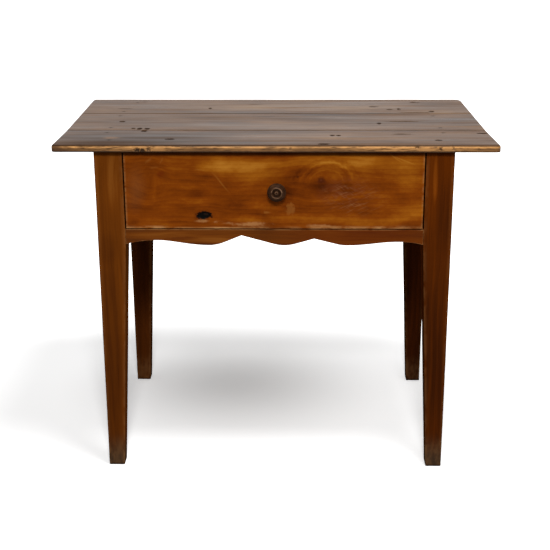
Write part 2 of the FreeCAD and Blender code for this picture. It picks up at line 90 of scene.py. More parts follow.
def ramp(tree, value, low, high, outLow=0.0, outHigh=1.0):
    sockets = {"Value": value, "From Min": low, "From Max": high, "To Min": outLow, "To Max": outHigh}
    return put(tree, "ShaderNodeMapRange", sockets, interpolation_type="SMOOTHSTEP").outputs[0]

def colour(red, green, blue):  # 0-255 as seen on screen, to linear
    seen = Color((red / 255, green / 255, blue / 255))
    return (*seen.from_srgb_to_scene_linear(), 1.0)

def shades(*rows):  # tone and its colour, dark to pale
    return tuple((tone, colour(*levels)) for tone, *levels in rows)

# Marks on a face: soft ellipses, full over their core, that go right through the wood
markBase = {"core": 0.3, "turn": 0.0, "ragged": 0.0, "band": 0.0, "arch": False, "archFade": (-0.1, 0.4),
            "through": 100.0}

def markAt(x, y, long, wide, **more):  # in millimetres, x along the grain
    return {"at": (x / 1000, y / 1000), "size": (long / 1000, wide / 1000), **more}

def tintAt(x, y, long, wide, lift, **more):  # lighter or darker place that fades from its middle
    return markAt(x, y, long, wide, lift=lift, core=0.0, **more)

def paintAt(x, y, long, wide, cover, shade, **more):
    return markAt(x, y, long, wide, cover=cover, shade=shade, **more)

def spot(tree, point, mark, ragged=0.0):  # 1 inside the mark and 0 outside
    look = {**markBase, **mark}
    local = mapped(tree, point, "TEXTURE", Location=(*look["at"], 0.0),
                   Scale=(*look["size"], look["through"]), Rotation=(0.0, 0.0, math.radians(look["turn"])))
    away = lengthOf(tree, local)
    if look["ragged"]:
        away = calc(tree, "MULTIPLY_ADD", ragged, look["ragged"], away)
    if look["band"]:  # only a band along the rim
        off = calc(tree, "ABSOLUTE", calc(tree, "SUBTRACT", away, 1.0))
        away = calc(tree, "DIVIDE", off, look["band"])
    inside = ramp(tree, away, look["core"], 1.0, 1.0, 0.0)
    if look["arch"]:  # only its upper half
        height = put(tree, "ShaderNodeSeparateXYZ", {0: local}).outputs["Y"]
        inside = calc(tree, "MULTIPLY", inside, ramp(tree, height, *look["archFade"]))
    return inside

# Wood: rings round a pith line, streaks, fibres and marks make one tone, and the tone picks the colour
woodBase = {"grain": "x", "across": "z", "offset": (0.0, 0.0, 0.0), "knots": (), "marks": (), "paints": (),
            "stops": (), "tone": 0.5, "wander": 0.02, "wanderSize": (3.0, 9.0, 9.0),
            "pith": (0.0, 0.1, 0.12), "lean": (0.0, 0.0), "ring": 0.011, "rings": 0.18, "lateWood": 2.2,
            "patch": 0.7, "patchSize": (2.5, 8.0, 8.0), "streak": 0.7, "streakSize": (2.2, 70.0, 70.0),
            "fibre": 0.3, "fibreSize": (14.0, 520.0, 520.0), "mottle": 0.0, "mottleSize": (34.0, 60.0, 60.0),
            "line": 0.12, "lineSize": (7.0, 210.0, 210.0), "lineSpan": (0.56, 0.7),
            "raggedSize": (130.0, 130.0, 130.0), "brokenSize": (45.0, 120.0, 120.0), "patchy": (0.3, 0.62),
            "hatchSize": (32.0, 420.0, 420.0), "hatchSpan": (0.5, 0.66), "haze": 0.0,
            "hazeSize": (3.0, 20.0, 20.0), "shine": (0.32, 0.48), "shineSpan": (0.3, 0.75), "gloss": 0.02,
            # the worn colour paints rubbed edges and painted highlights, the grime colour grime and painted
            # shade
            "worn": colour(160, 112, 66), "wornMatte": 0.12, "grimeAndShade": colour(20, 9, 3), "grimeAndShadeMatte": 0.2,
            "relief": 0.3, "reliefDeep": 0.0007, "fibreRelief": 0.5, "ringRelief": -0.2}

def grainFlow(tree, look):  # grain that wanders slowly and flows round knots
    along, across = axes[look["grain"]], axes[look["across"]]
    turn = Matrix((along, across, along.cross(across))).to_euler()
    coords = put(tree, "ShaderNodeTexCoord").outputs["Object"]
    point = mapped(tree, coords, Rotation=turn)
    own = mapped(tree, point, Location=look["offset"])
    drift = speckle(tree, own, look["wanderSize"], detail=2.0, output="Color")
    drift = stretchBy(tree, vectorCalc(tree, "SUBTRACT", drift, (0.5, 0.5, 0.5)), look["wander"])
    drawn = vectorCalc(tree, "ADD", point, drift)
    flow = drift
    for knot in look["knots"]:
        rise = vectorCalc(tree, "SUBTRACT", drawn, (*knot["at"], 0.0))
        rise = vectorCalc(tree, "MULTIPLY", rise, (0.0, 1.0, 0.0))
        pull = calc(tree, "MULTIPLY", spot(tree, drawn, {**knot, "core": 0.0}), -knot["pull"])
        flow = vectorCalc(tree, "ADD", flow, stretchBy(tree, rise, pull))
    return point, own, drawn, vectorCalc(tree, "ADD", own, flow)

def growthRings(tree, look, bent):  # 0 to 1 across each ring, steepest at its late wood
    pith = [-place for place in look["pith"]]
    local = mapped(tree, bent, Location=pith, Rotation=(0.0, *look["lean"]))
    radius = lengthOf(tree, vectorCalc(tree, "MULTIPLY", local, (0.0, 1.0, 1.0)))
    phase = calc(tree, "FRACT", calc(tree, "DIVIDE", radius, look["ring"]))
    return calc(tree, "POWER", phase, look["lateWood"])

def woodTone(tree, look, bent, late, streak, fibre):
    tone = calc(tree, "MULTIPLY", late, -look["rings"])
    tone = calc(tree, "ADD", look["tone"] + look["rings"] / 3, tone)  # the mean tone stays about the same
    varied = [(speckle(tree, bent, look["patchSize"], detail=2.0), look["patch"]),
              (streak, look["streak"]), (fibre, look["fibre"])]
    if look["mottle"]:
        varied.append((speckle(tree, bent, look["mottleSize"], detail=5.0, rough=0.7), look["mottle"]))
    for value, amount in varied:
        tone = calc(tree, "MULTIPLY_ADD", calc(tree, "SUBTRACT", value, 0.5), amount, tone)
    thin = ramp(tree, speckle(tree, bent, look["lineSize"], detail=2.0), *look["lineSpan"])
    return calc(tree, "MULTIPLY_ADD", thin, -look["line"], tone)

def palette(tree, tone, stops):
    node = put(tree, "ShaderNodeValToRGB", {"Fac": tone})
    while len(node.color_ramp.elements) < len(stops):
        node.color_ramp.elements.new(0.5)
    for element, (place, shade) in zip(node.color_ramp.elements, stops):
        element.position = place
        element.color = shade
    return node.outputs["Color"]

def woodFinish(name, **changes):
    look = {**woodBase, **changes}
    material = bpy.data.materials.new(name)
    material.use_nodes = True
    tree = material.node_tree
    shader = tree.nodes["Principled BSDF"]
    point, own, drawn, bent = grainFlow(tree, look)
    ragged = calc(tree, "SUBTRACT", speckle(tree, own, look["raggedSize"]), 0.5)
    late = growthRings(tree, look, bent)
    streak = speckle(tree, bent, look["streakSize"])
    fibre = speckle(tree, bent, look["fibreSize"], rough=0.65)
    tone = woodTone(tree, look, bent, late, streak, fibre)
    for mark in look["marks"]:  # lighter or darker places
        tone = calc(tree, "MULTIPLY_ADD", spot(tree, drawn, mark, ragged), mark["lift"], tone)
    tint = palette(tree, tone, look["stops"])

    # painted-in places
    broken = ramp(tree, speckle(tree, own, look["brokenSize"]), *look["patchy"])
    height = calc(tree, "MULTIPLY", late, look["ringRelief"])
    height = calc(tree, "MULTIPLY_ADD", fibre, look["fibreRelief"], height)
    rough = ramp(tree, streak, *look["shineSpan"], *look["shine"])
    if look["haze"]:  # dull and clear places in the polish
        dull = calc(tree, "SUBTRACT", speckle(tree, own, look["hazeSize"]), 0.5)
        rough = calc(tree, "MULTIPLY_ADD", dull, look["haze"], rough)
    for paint in look["paints"]:
        cover = calc(tree, "MULTIPLY", spot(tree, drawn, paint, ragged), paint["cover"])
        if paint.get("broken"):
            cover = calc(tree, "MULTIPLY", cover, broken)
        if paint.get("hatch"):  # many fine scratches in one direction
            turned = mapped(tree, point, Rotation=(0.0, 0.0, math.radians(-paint["hatch"])))
            lines = speckle(tree, turned, look["hatchSize"], detail=1.0)
            cover = calc(tree, "MULTIPLY", cover, ramp(tree, lines, *look["hatchSpan"]))
        tint = blendColour(tree, cover, tint, paint["shade"])
        height = calc(tree, "MULTIPLY_ADD", cover, -paint.get("dig", 0.0), height)
        rough = calc(tree, "MULTIPLY_ADD", cover, paint.get("matte", 0.0), rough)

    # worn edges with painted highlights, and grime with painted shade
    wearAndHighlight = put(tree, "ShaderNodeAttribute", attribute_name="wearAndHighlight").outputs["Fac"]
    rubbedAndHighlit = calc(tree, "MULTIPLY", wearAndHighlight, broken)
    tint = blendColour(tree, rubbedAndHighlit, tint, look["worn"])
    grimeAndShade = put(tree, "ShaderNodeAttribute", attribute_name="grimeAndShade").outputs["Fac"]
    tint = blendColour(tree, grimeAndShade, tint, look["grimeAndShade"])
    rough = calc(tree, "MULTIPLY_ADD", grimeAndShade, look["grimeAndShadeMatte"], rough)
    rough = calc(tree, "MULTIPLY_ADD", rubbedAndHighlit, look["wornMatte"], rough)
    sockets = {"Height": height, "Strength": look["relief"], "Distance": look["reliefDeep"]}
    shader.inputs["Specular IOR Level"].default_value = look["gloss"]
    tree.links.new(tint, shader.inputs["Base Color"])
    tree.links.new(rough, shader.inputs["Roughness"])
    tree.links.new(put(tree, "ShaderNodeBump", sockets).outputs[0], shader.inputs["Normal"])
    return material

# Mesh helpers, with lengths in metres and angles in degrees
closeness = {"weld": 1e-6, "same": 1e-5, "near": 1e-4, "along": 0.99, "flatAngle": 1.0, "sharpAngle": 40.0}

def addBox(bm, low, high):
    verts = bmesh.ops.create_cube(bm, size=1.0)["verts"]
    bmesh.ops.scale(bm, vec=high - low, verts=verts)
    bmesh.ops.translate(bm, vec=(low + high) / 2, verts=verts)

def boxMesh(low, high):
    bm = bmesh.new()
    addBox(bm, low, high)
    return bm

def runsAlong(edge, axis):
    way = (edge.verts[1].co - edge.verts[0].co).normalized()
    return abs(way.dot(axes[axis])) > closeness["along"]

def middleOf(edge):
    return (edge.verts[0].co + edge.verts[1].co) / 2

def refine(bm, edges, cuts):
    bmesh.ops.subdivide_edges(bm, edges=edges, cuts=cuts, use_grid_fill=True)

def divide(bm, axis, step):  # even cuts along one axis
    edges = [e for e in bm.edges if runsAlong(e, axis) and e.calc_length() > step]
    refine(bm, edges, round(max(e.calc_length() for e in edges) / step) - 1)

def roundOver(bm, edges, radius, segments):
    made = bmesh.ops.bevel(bm, geom=edges, offset=radius, segments=segments, profile=0.5, affect="EDGES",
                           material=-1)
    return made["faces"]

def sliceMesh(bm, place, normal, keepBeyond=False):
    geometry = bm.verts[:] + bm.edges[:] + bm.faces[:]
    return bmesh.ops.bisect_plane(bm, geom=geometry, plane_co=place, plane_no=normal, clear_inner=keepBeyond)

def weld(bm):
    bmesh.ops.remove_doubles(bm, verts=bm.verts, dist=closeness["weld"])

def copyMesh(node):  # solid's mesh with its faces joined up again
    bm = bmesh.new()
    bm.from_mesh(cadNodes[node].data)
    weld(bm)
    flat = math.radians(closeness["flatAngle"])
    bmesh.ops.dissolve_limit(bm, angle_limit=flat, verts=bm.verts, edges=bm.edges)
    return bm

def joinMesh(bm, other):  # adds another mesh and frees it
    holder = bpy.data.meshes.new("holder")
    other.to_mesh(holder)
    other.free()
    bm.from_mesh(holder)
    bpy.data.meshes.remove(holder)

def finishPiece(name, bm, body, node, material, smooth=True):
    bmesh.ops.recalc_face_normals(bm, faces=bm.faces)
    for face in bm.faces:
        face.smooth = smooth
    mesh = bpy.data.meshes.new(name)
    bm.to_mesh(mesh)
    bm.free()
    piece = bpy.data.objects.new(name, mesh)
    scene.collection.objects.link(piece)
    mesh.materials.append(material)
    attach(piece, body)
    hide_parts(node)
    return piece

def paintVerts(piece, name, rule):  # one number per vertex, read by the finish
    layer = piece.data.attributes.new(name, "FLOAT", "POINT")
    for vert, item in zip(piece.data.vertices, layer.data):
        item.value = min(max(rule(vert.co), 0.0), 1.0)

def wobble(place, size, seed):  # -1 to 1, the same each run
    return noise.noise(Vector((place[0] / size + seed, place[1] / size - seed, place[2] / size + 2 * seed)))

def dip(place, deep, size, seed):  # 0 to deep, in soft waves
    return deep * (1 + wobble(place, size, seed)) / 2

def fade(value, start, end):  # 1 at start, 0 at end
    share = min(max((value - end) / (start - end), 0.0), 1.0)
    return share * share * (3 - 2 * share)

def soft(value, most, start, end):  # most at start, 0 at end
    return most * fade(value, start, end)

# Camera and room
room = {"cameraAt": (0.0456, -2.626, 1.2402), "yaw": -1.063, "pitch": 18.273, "roll": 0.167, "lens": 75.22,
        "sensor": 36.0, "farClip": 100.0, "floorSize": 30.0, "floorShade": 0.95, "floorBounce": 0.5,
        "floorRough": 0.9, "floorGloss": 0.05, "skyLight": 0.24, "paintedShadowAt": (-0.12, 0.2),
        "paintedShadowSize": (0.48, 0.42), "glowDepth": (-0.25, 0.5), "glowMost": (0.34, 0.46),
        "farAt": (-0.25, 0.05), "farSize": (1.4, 0.85), "farWhite": (0.54, 1.15), "lampAim": (0.0, 0.0, 0.5),
        "lamps": {"keyAbove": ((0.6, -0.85, 3.2), 0.9, 54.0), "front": ((0.1, -3.0, 2.4), 0.6, 84.0)}}

def makeCamera():
    camera = bpy.data.objects.new("photoCamera", bpy.data.cameras.new("photoCamera"))
    camera.data.lens = room["lens"]
    camera.data.sensor_width = room["sensor"]
    camera.data.clip_end = room["farClip"]
    turn = Matrix.Rotation(math.radians(-room["yaw"]), 4, "Z")
    turn = turn @ Matrix.Rotation(math.radians(90 - room["pitch"]), 4, "X")
    turn = turn @ Matrix.Rotation(math.radians(-room["roll"]), 4, "Z")
    camera.matrix_world = Matrix.Translation(room["cameraAt"]) @ turn
    scene.collection.objects.link(camera)
    scene.camera = camera

def seenRays(tree):  # rays that should meet the white studio
    rays = put(tree, "ShaderNodeLightPath").outputs
    mirrored = calc(tree, "MAXIMUM", rays["Is Glossy Ray"], rays["Is Transmission Ray"])
    return calc(tree, "MAXIMUM", rays["Is Camera Ray"], mirrored)

def awayFrom(tree, coords, middle, size):  # 0 in the middle of an ellipse on the floor, 1 on its rim
    return lengthOf(tree, mapped(tree, coords, "TEXTURE", Location=(*middle, 0.0), Scale=(*size, 1.0)))

def makeFloor():
    bm = bmesh.new()
    bmesh.ops.create_grid(bm, x_segments=1, y_segments=1, size=room["floorSize"] / 2)
    mesh = bpy.data.meshes.new("floor")
    bm.to_mesh(mesh)
    bm.free()
    floor = bpy.data.objects.new("floor", mesh)
    scene.collection.objects.link(floor)
    material = bpy.data.materials.new("paleFloor")
    material.use_nodes = True
    tree = material.node_tree
    shader = tree.nodes["Principled BSDF"]
    shader.inputs["Roughness"].default_value = room["floorRough"]
    shader.inputs["Specular IOR Level"].default_value = room["floorGloss"]
    seen = seenRays(tree)
    greys = [(level, level, level, 1.0) for level in (room["floorBounce"], room["floorShade"])]
    tree.links.new(blendColour(tree, seen, *greys), shader.inputs["Base Color"])
    coords = put(tree, "ShaderNodeTexCoord").outputs["Object"]
    depth = put(tree, "ShaderNodeSeparateXYZ", {0: coords}).outputs["Y"]
    # The floor glows for camera and mirror rays: least in an ellipse under the table, so the glow paints the
    # outline of the table's shadow, and fully on the far floor, which turns white.
    most = ramp(tree, depth, *room["glowDepth"], *room["glowMost"])
    paintedShadowShape = ramp(tree, awayFrom(tree, coords, room["paintedShadowAt"], room["paintedShadowSize"]), 0.0, 1.0)
    far = ramp(tree, awayFrom(tree, coords, room["farAt"], room["farSize"]), *room["farWhite"])
    paintedGlow = calc(tree, "MULTIPLY_ADD", paintedShadowShape, most, far)
    paintedGlowShader = put(tree, "ShaderNodeEmission", {"Strength": calc(tree, "MULTIPLY", seen, paintedGlow)}).outputs[0]
    both = put(tree, "ShaderNodeAddShader", {0: shader.outputs[0], 1: paintedGlowShader}).outputs[0]
    tree.links.new(both, tree.nodes["Material Output"].inputs["Surface"])
    mesh.materials.append(material)

def makeSky():
    world = bpy.data.worlds.new("studio")
    world.use_nodes = True
    scene.world = world
    tree = world.node_tree
    strength = calc(tree, "MULTIPLY_ADD", seenRays(tree), 1.0 - room["skyLight"], room["skyLight"])
    background = tree.nodes["Background"]
    background.inputs["Color"].default_value = (1.0, 1.0, 1.0, 1.0)
    tree.links.new(strength, background.inputs["Strength"])

def makeLamp(name, place, size, watts):
    lamp = bpy.data.objects.new(name, bpy.data.lights.new(name, "AREA"))
    lamp.data.shape = "DISK"
    lamp.data.size = size
    lamp.data.energy = watts
    lamp.location = place
    lamp.rotation_euler = (Vector(room["lampAim"]) - Vector(place)).to_track_quat("-Z", "Y").to_euler()
    scene.collection.objects.link(lamp)

makeCamera()
makeFloor()
makeSky()
for name, (place, size, watts) in room["lamps"].items():
    makeLamp(name, place, size, watts)
print("camera, floor and lamps ready")

# Wood colours
topStops = shades((0.0, 38, 23, 11), (0.3, 62, 39, 20), (0.6, 96, 66, 38), (1.0, 138, 107, 70))
frontStops = shades((0.0, 48, 17, 2), (0.25, 86, 36, 4), (0.5, 114, 53, 6), (0.75, 140, 78, 13),
                    (1.0, 166, 106, 32))
legStops = shades((0.0, 36, 14, 2), (0.3, 68, 31, 7), (0.6, 98, 49, 9), (1.0, 134, 80, 28))
redLegStops = shades((0.0, 28, 8, 1), (0.3, 54, 22, 5), (0.6, 86, 37, 4), (1.0, 130, 66, 14))
innerStops = shades((0.0, 84, 54, 30), (0.45, 142, 104, 66), (0.75, 168, 130, 88), (1.0, 190, 154, 112))
knobStops = shades((0.0, 12, 6, 3), (0.5, 38, 21, 11), (1.0, 82, 54, 34))
ironStops = shades((0.0, 14, 10, 8), (1.0, 50, 36, 26))
knotDark = colour(11, 6, 4)
scuff = colour(158, 112, 68)
# grey of dust on the polish, also used as a painted sheen of reflected light
dustAndSheenGrey = colour(150, 140, 134)

# Top boards: soft edges are given as start and end, some with an amount before them, noises as size and seed
top = {"step": 0.004, "edgeStep": 0.002, "upperRound": (0.0055, 5), "lowerRound": (0.0016, 3),
       "cornerRound": 0.009, "wornCorner": 0.02, "cornerSteps": 5, "hair": 0.00003, "jointGap": 0.0008,
       "tongueOut": 0.0058, "tongueThick": 0.005, "tongueEnd": 0.006,
       "endReach": 0.008, "endNear": 0.002, "cornerSlack": 0.0005, "headDeep": 0.001, "headWide": 0.012,
       "upperPart": 0.4, "surface": 0.95, "sink": 0.0003, "wave": (0.0004, 0.07, 3.0),
       "frontDeep": 0.006, "frontWave": (0.0008, 0.013, 5.0), "dimple": (0.0009, 0.0, 0.006),
       "jointEase": (0.0005, 0.0, 0.003), "pitCuts": 3, "pitSpread": 1.5, "pitWall": (0.75, 1.0),
       "pitTorn": 0.25, "pitNoise": (0.005, 17.0), "chipCuts": 2, "chipSpread": 1.5, "chipDeep": 0.003,
       "chipAlong": (0.4, 0.9), "chipUp": (0.12, 0.3), "chipTorn": 0.5, "chipTornUp": 0.3,
       "chipNoise": (0.003, 19.0),
       "chips": ((-0.284, 0.008, 0.0028, 0.3), (-0.274, 0.007, 0.0034, 0.25), (-0.261, 0.006, 0.0022, 0.4),
                 (0.0346, 0.004, 0.001, 0.5), (0.297, 0.006, 0.002, 0.8), (0.346, 0.005, 0.002, 0.45),
                 (0.3727, 0.004, 0.0012, 0.6), (0.254, 0.005, 0.0012, 0.9), (-0.405, 0.01, 0.0012, 0.9),
                 (0.18, 0.008, 0.001, 0.95), (0.425, 0.004, 0.0008, 0.4)),  # place, width, depth, level
       "wearAndHighlight": {"mean": 0.24, "vary": 0.25, "noise": (0.05, 11.0), "highlightAt": 0.68, "pale": (0.06, 0.2),
                "highlightNoise": (0.018, 23.0), "rubsAndHighlights": ((-0.3, 0.15, 0.06, 0.16), (0.3, 0.3, 0.06, 0.15)),
                "ends": (-0.25, 0.01, 0.06), "inward": (0.002, 0.005), "level": (0.24, 0.4)},
       "grimeAndShade": {"under": (0.5, 0.06, 0.26), "lineAt": 0.86, "line": (0.5, 0.05, 0.12),
                 "nail": (0.35, 0.003, 0.008), "joint": (0.0003, 0.003), "jointMean": 0.5, "jointVary": 0.4,
                 "jointNoise": (0.09, 13.0), "chip": 330.0, "chipMost": 0.9, "pit": (0.95, 1.15),
                 "inward": (0.003, 0.007)}}

def dark(x, y, long, wide, deep=0.0, cover=0.85):  # knot, pit or crack, in millimetres
    return paintAt(x, y, long, wide, cover, knotDark, deep=deep / 1000, dig=0.6, matte=0.35, ragged=0.6)

def dustAndSheenFilm(x, y, long, wide, cover):  # pale dusty polish, painted also as a sheen of reflected light
    return paintAt(x, y, long, wide, cover, dustAndSheenGrey, core=0.0)

topDarks = {
    "top_front_board": (dark(-287, -134, 7, 8, 3.5), dark(-222, -223, 11, 8, 1.4, 0.45),
                        dark(125, -181, 5, 7, 2.6), dark(138, -182, 5, 6, 2.2),
                        dark(104, -271, 13, 7, 1.8, 0.55), dark(277, -167, 22, 5, 1.0, 0.4),
                        dark(347, -232, 8, 7, 1.8, 0.5), dark(453, -158, 14, 5, 5.0, 1.0)),
    "top_middle_board": (dark(-301, -107, 6, 9, 3.5), dark(-284, -108, 6, 9, 3.5),
                         dark(-315, -103, 5, 6, 2.0, 0.7), dark(-352, -23, 7, 8, 1.8, 0.5),
                         dark(234, -45, 5, 11, 1.8, 0.5), dark(290, -22, 44, 4, 1.0, 0.35)),
    "top_back_board": (dark(-162, 148, 4, 10, 1.8, 0.55), dark(-370, 146, 26, 8, 0.0, 0.45),
                       dark(-56, 200, 24, 7, 0.0, 0.4), dark(-330, 240, 14, 7, 0.0, 0.4),
                       dark(236, 172, 12, 9, 0.8, 0.4), dark(272, 134, 7, 8, 1.2, 0.5),
                       dark(295, 140, 4, 14, 1.6, 0.5), dark(330, 96, 40, 4, 1.3, 0.45),
                       dark(370, 108, 6, 8, 2.0, 0.7), dark(338, 236, 9, 6, 1.2, 0.5))}
topPaints = {
    "top_front_board": (dustAndSheenFilm(20, -180, 400, 70, 0.12), paintAt(-350, -208, 24, 14, 0.3, scuff, ragged=0.8),
                        paintAt(-360, -262, 200, 50, 0.45, colour(52, 34, 19), matte=0.5, core=0.0)),
    "top_middle_board": (dustAndSheenFilm(10, -74, 340, 60, 0.22),),
    "top_back_board": (dustAndSheenFilm(-140, 200, 260, 90, 0.1),)}
topTones = {
    "top_front_board": (tintAt(-330, -200, 260, 130, -0.16), tintAt(60, -200, 280, 60, 0.04),
                        tintAt(330, -170, 160, 60, -0.02)),
    "top_middle_board": (tintAt(-181, 21, 110, 30, -0.2), tintAt(-90, -36, 90, 22, -0.16),
                         tintAt(110, 62, 150, 26, -0.34), tintAt(300, 20, 120, 60, 0.12),
                         tintAt(420, 50, 90, 44, 0.16), tintAt(0, -88, 320, 30, 0.16),
                         tintAt(0, -40, 160, 40, 0.14), tintAt(-360, 0, 140, 90, -0.1)),
    "top_back_board": (tintAt(0, 170, 380, 90, 0.3), tintAt(390, 200, 110, 70, -0.14),
                       tintAt(80, 258, 160, 44, 0.26), tintAt(-150, 105, 200, 22, -0.1),
                       tintAt(200, 150, 120, 30, 0.1))}

def topMaterials():
    shared = {"across": "y", "stops": topStops, "shine": (0.3, 0.46), "gloss": 0.1, "rings": 0.08,
              "ring": 0.009, "patch": 0.95, "patchSize": (2.4, 9.0, 9.0), "streak": 0.42,
              "streakSize": (2.6, 60.0, 60.0), "line": 0.36, "worn": colour(188, 136, 80),
              "patchy": (0.24, 0.58), "brokenSize": (55.0, 200.0, 420.0), "haze": 0.34, "mottle": 0.26}
    shapes = {"top_front_board": {"pith": (0.0, -0.18, 0.62), "lean": (0.02, 0.03), "tone": 0.4},
              "top_middle_board": {"pith": (0.0, 0.0, 0.66), "offset": (3.1, 0.4, 0.2)},
              "top_back_board": {"pith": (0.0, 0.2, 0.6), "offset": (7.7, 0.9, 0.1)}}
    return {node: woodFinish(node + "_wood", **shared, **shape, paints=topDarks[node] + topPaints[node],
                             marks=topTones[node])
            for node, shape in shapes.items()}

def nailPlaces():  # middle of each nail head in the top
    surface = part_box("top_middle_board")[1].z - top["headDeep"]
    groups = []
    for corner in [v.co for v in cadNodes["top_nails"].data.vertices if v.co.z > surface]:
        group = next((g for g in groups if (g[0] - corner).length < top["headWide"]), None)
        if group:
            group.append(corner)
        else:
            groups.append([corner])
    return [sum(group, Vector()) / len(group) for group in groups]

def boardEnds(node, low, high, outer):  # where the left and right ends run: x at y = 0, and slope
    def usable(co):  # not in a rounded corner or on a tongue
        if not low.y - closeness["near"] < co.y < high.y + closeness["near"]:
            return False
        return outer is None or abs(co.y - outer) > top["cornerRound"] - top["cornerSlack"]

    corners = [v.co for v in cadNodes[node].data.vertices if usable(v.co)]
    lines = []
    for side in (-1, 1):
        reach = max(p.x * side for p in corners)
        ends = [p for p in corners if p.x * side > reach - top["endReach"]]
        outermost = []
        for y in (min(p.y for p in ends), max(p.y for p in ends)):
            beside = [p for p in ends if abs(p.y - y) < top["endNear"]]
            outermost.append(max(beside, key=lambda p: p.x * side))
        near, far = outermost
        slope = (far.x - near.x) / (far.y - near.y)
        lines.append((near.x - slope * near.y - side * top["hair"], slope))
    return lines

def boardOf(node):  # what the shape and the wear of one board go by
    low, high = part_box(node)
    outer = {"top_front_board": low.y, "top_back_board": high.y}.get(node)
    if node == "top_middle_board":  # its box also holds the tongues
        low.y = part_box("top_front_board")[1].y + top["jointGap"]
        high.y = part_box("top_back_board")[0].y - top["jointGap"]
    left, right = boardEnds(node, low, high, outer)
    middle = (low.y + high.y) / 2
    low.x, high.x = left[0] + left[1] * middle, right[0] + right[1] * middle
    return {"node": node, "low": low, "high": high, "outer": outer, "left": left, "right": right,
            "isFront": node == "top_front_board", "pits": [mark for mark in topDarks[node] if mark["deep"]]}

def endsAt(board, y):
    return [start + slope * y for start, slope in (board["left"], board["right"])]

def shareUp(board, co):  # 0 at the underside, 1 at the upper face
    return (co.z - board["low"].z) / (board["high"].z - board["low"].z)

def edgeDepth(board, co):  # distance in from the end or the outer edge
    start, end = endsAt(board, co.y)
    ends = min(co.x - start, end - co.x)
    return ends if board["outer"] is None else min(ends, abs(co.y - board["outer"]))

def jointDepth(board, co):  # distance in from a joint between boards
    return min(abs(co.y - y) for y in (board["low"].y, board["high"].y) if y != board["outer"])

def markReach(co, mark):  # 0 in the middle of a mark, 1 at its rim
    away = co.xy - Vector(mark["at"])
    reach = Vector((away.x / mark["size"][0], away.y / mark["size"][1])).length
    return reach + top["pitTorn"] * wobble((co.x, co.y, 0.0), *top["pitNoise"])

def chipCut(co, share):  # how deep the front edge is chipped here
    torn = top["chipTorn"] * wobble(co, *top["chipNoise"])
    return max(deep * fade(abs(co.x - at) / wide + torn, *top["chipAlong"])
               * fade(abs(share - level) + top["chipTornUp"] * torn, *top["chipUp"])
               for at, wide, deep, level in top["chips"])

def boardBlank(board):  # rounded box, finely divided, with its ends out of square
    low, high, outer = board["low"], board["high"], board["outer"]
    same = closeness["same"]
    bm = boxMesh(low, high)

    def onOuter(edge):
        return outer is not None and abs(middleOf(edge).y - outer) < same

    upright = [e for e in bm.edges if runsAlong(e, "z") and onOuter(e)]
    worn = [e for e in upright if board["node"] == "top_back_board" and middleOf(e).x > 0]
    plain = [e for e in upright if e not in worn]
    for edges, radius in ((worn, top["wornCorner"]), (plain, top["cornerRound"])):
        if edges:
            roundOver(bm, edges, radius, top["cornerSteps"])
    for z, size in ((high.z, top["upperRound"]), (low.z, top["lowerRound"])):
        level = [e for e in bm.edges if all(abs(v.co.z - z) < same for v in e.verts)]
        roundOver(bm, [e for e in level if onOuter(e) or not runsAlong(e, "x")], *size)
    divide(bm, "z", top["edgeStep"])
    divide(bm, "x", top["step"])
    divide(bm, "y", top["step"])
    for vert in bm.verts:
        start, end = endsAt(board, vert.co.y)
        vert.co.x = start + (end - start) * (vert.co.x - low.x) / (high.x - low.x)
    return bm

def refineDamage(bm, board):  # finer mesh round the chips and the pits
    def nearChip(place):
        return place.y < board["low"].y + top["chipDeep"] and any(
            abs(place.x - at) < top["chipSpread"] * wide for at, wide, deep, level in top["chips"])

    def nearPit(place):
        return any(markReach(place, pit) < top["pitSpread"] for pit in board["pits"])

    if board["isFront"]:
        refine(bm, [e for e in bm.edges if nearChip(middleOf(e))], top["chipCuts"])
    surface = board["high"].z - closeness["same"]
    level = [e for e in bm.edges if all(v.co.z > surface for v in e.verts)]
    refine(bm, [e for e in level if nearPit(middleOf(e))], top["pitCuts"])

def shapeTop(bm, board, nails):  # chips, waves, dimples at the nails, eased joints and pits
    for vert in bm.verts:
        share = shareUp(board, vert.co)
        if board["isFront"] and vert.co.y < board["low"].y + top["frontDeep"]:
            vert.co.y += chipCut(vert.co, share) + dip(vert.co, *top["frontWave"])
        if share > top["upperPart"]:
            drop = top["sink"] + dip(vert.co, *top["wave"])
            if share > top["surface"]:
                away = min((vert.co.xy - nail.xy).length for nail in nails)
                drop = max(drop, top["sink"] + soft(away, *top["dimple"]))
                drop += soft(jointDepth(board, vert.co), *top["jointEase"])
                for pit in board["pits"]:
                    drop = max(drop, pit["deep"] * fade(markReach(vert.co, pit), *top["pitWall"]))
            vert.co.z -= drop

def addTongues(bm, low, high):
    middle = (low.z + high.z) / 2
    half = top["tongueThick"] / 2
    for inner, out in ((low.y, low.y - top["tongueOut"]), (high.y, high.y + top["tongueOut"])):
        addBox(bm, Vector((low.x + top["tongueEnd"], min(inner, out), middle - half)),
               Vector((high.x - top["tongueEnd"], max(inner, out), middle + half)))

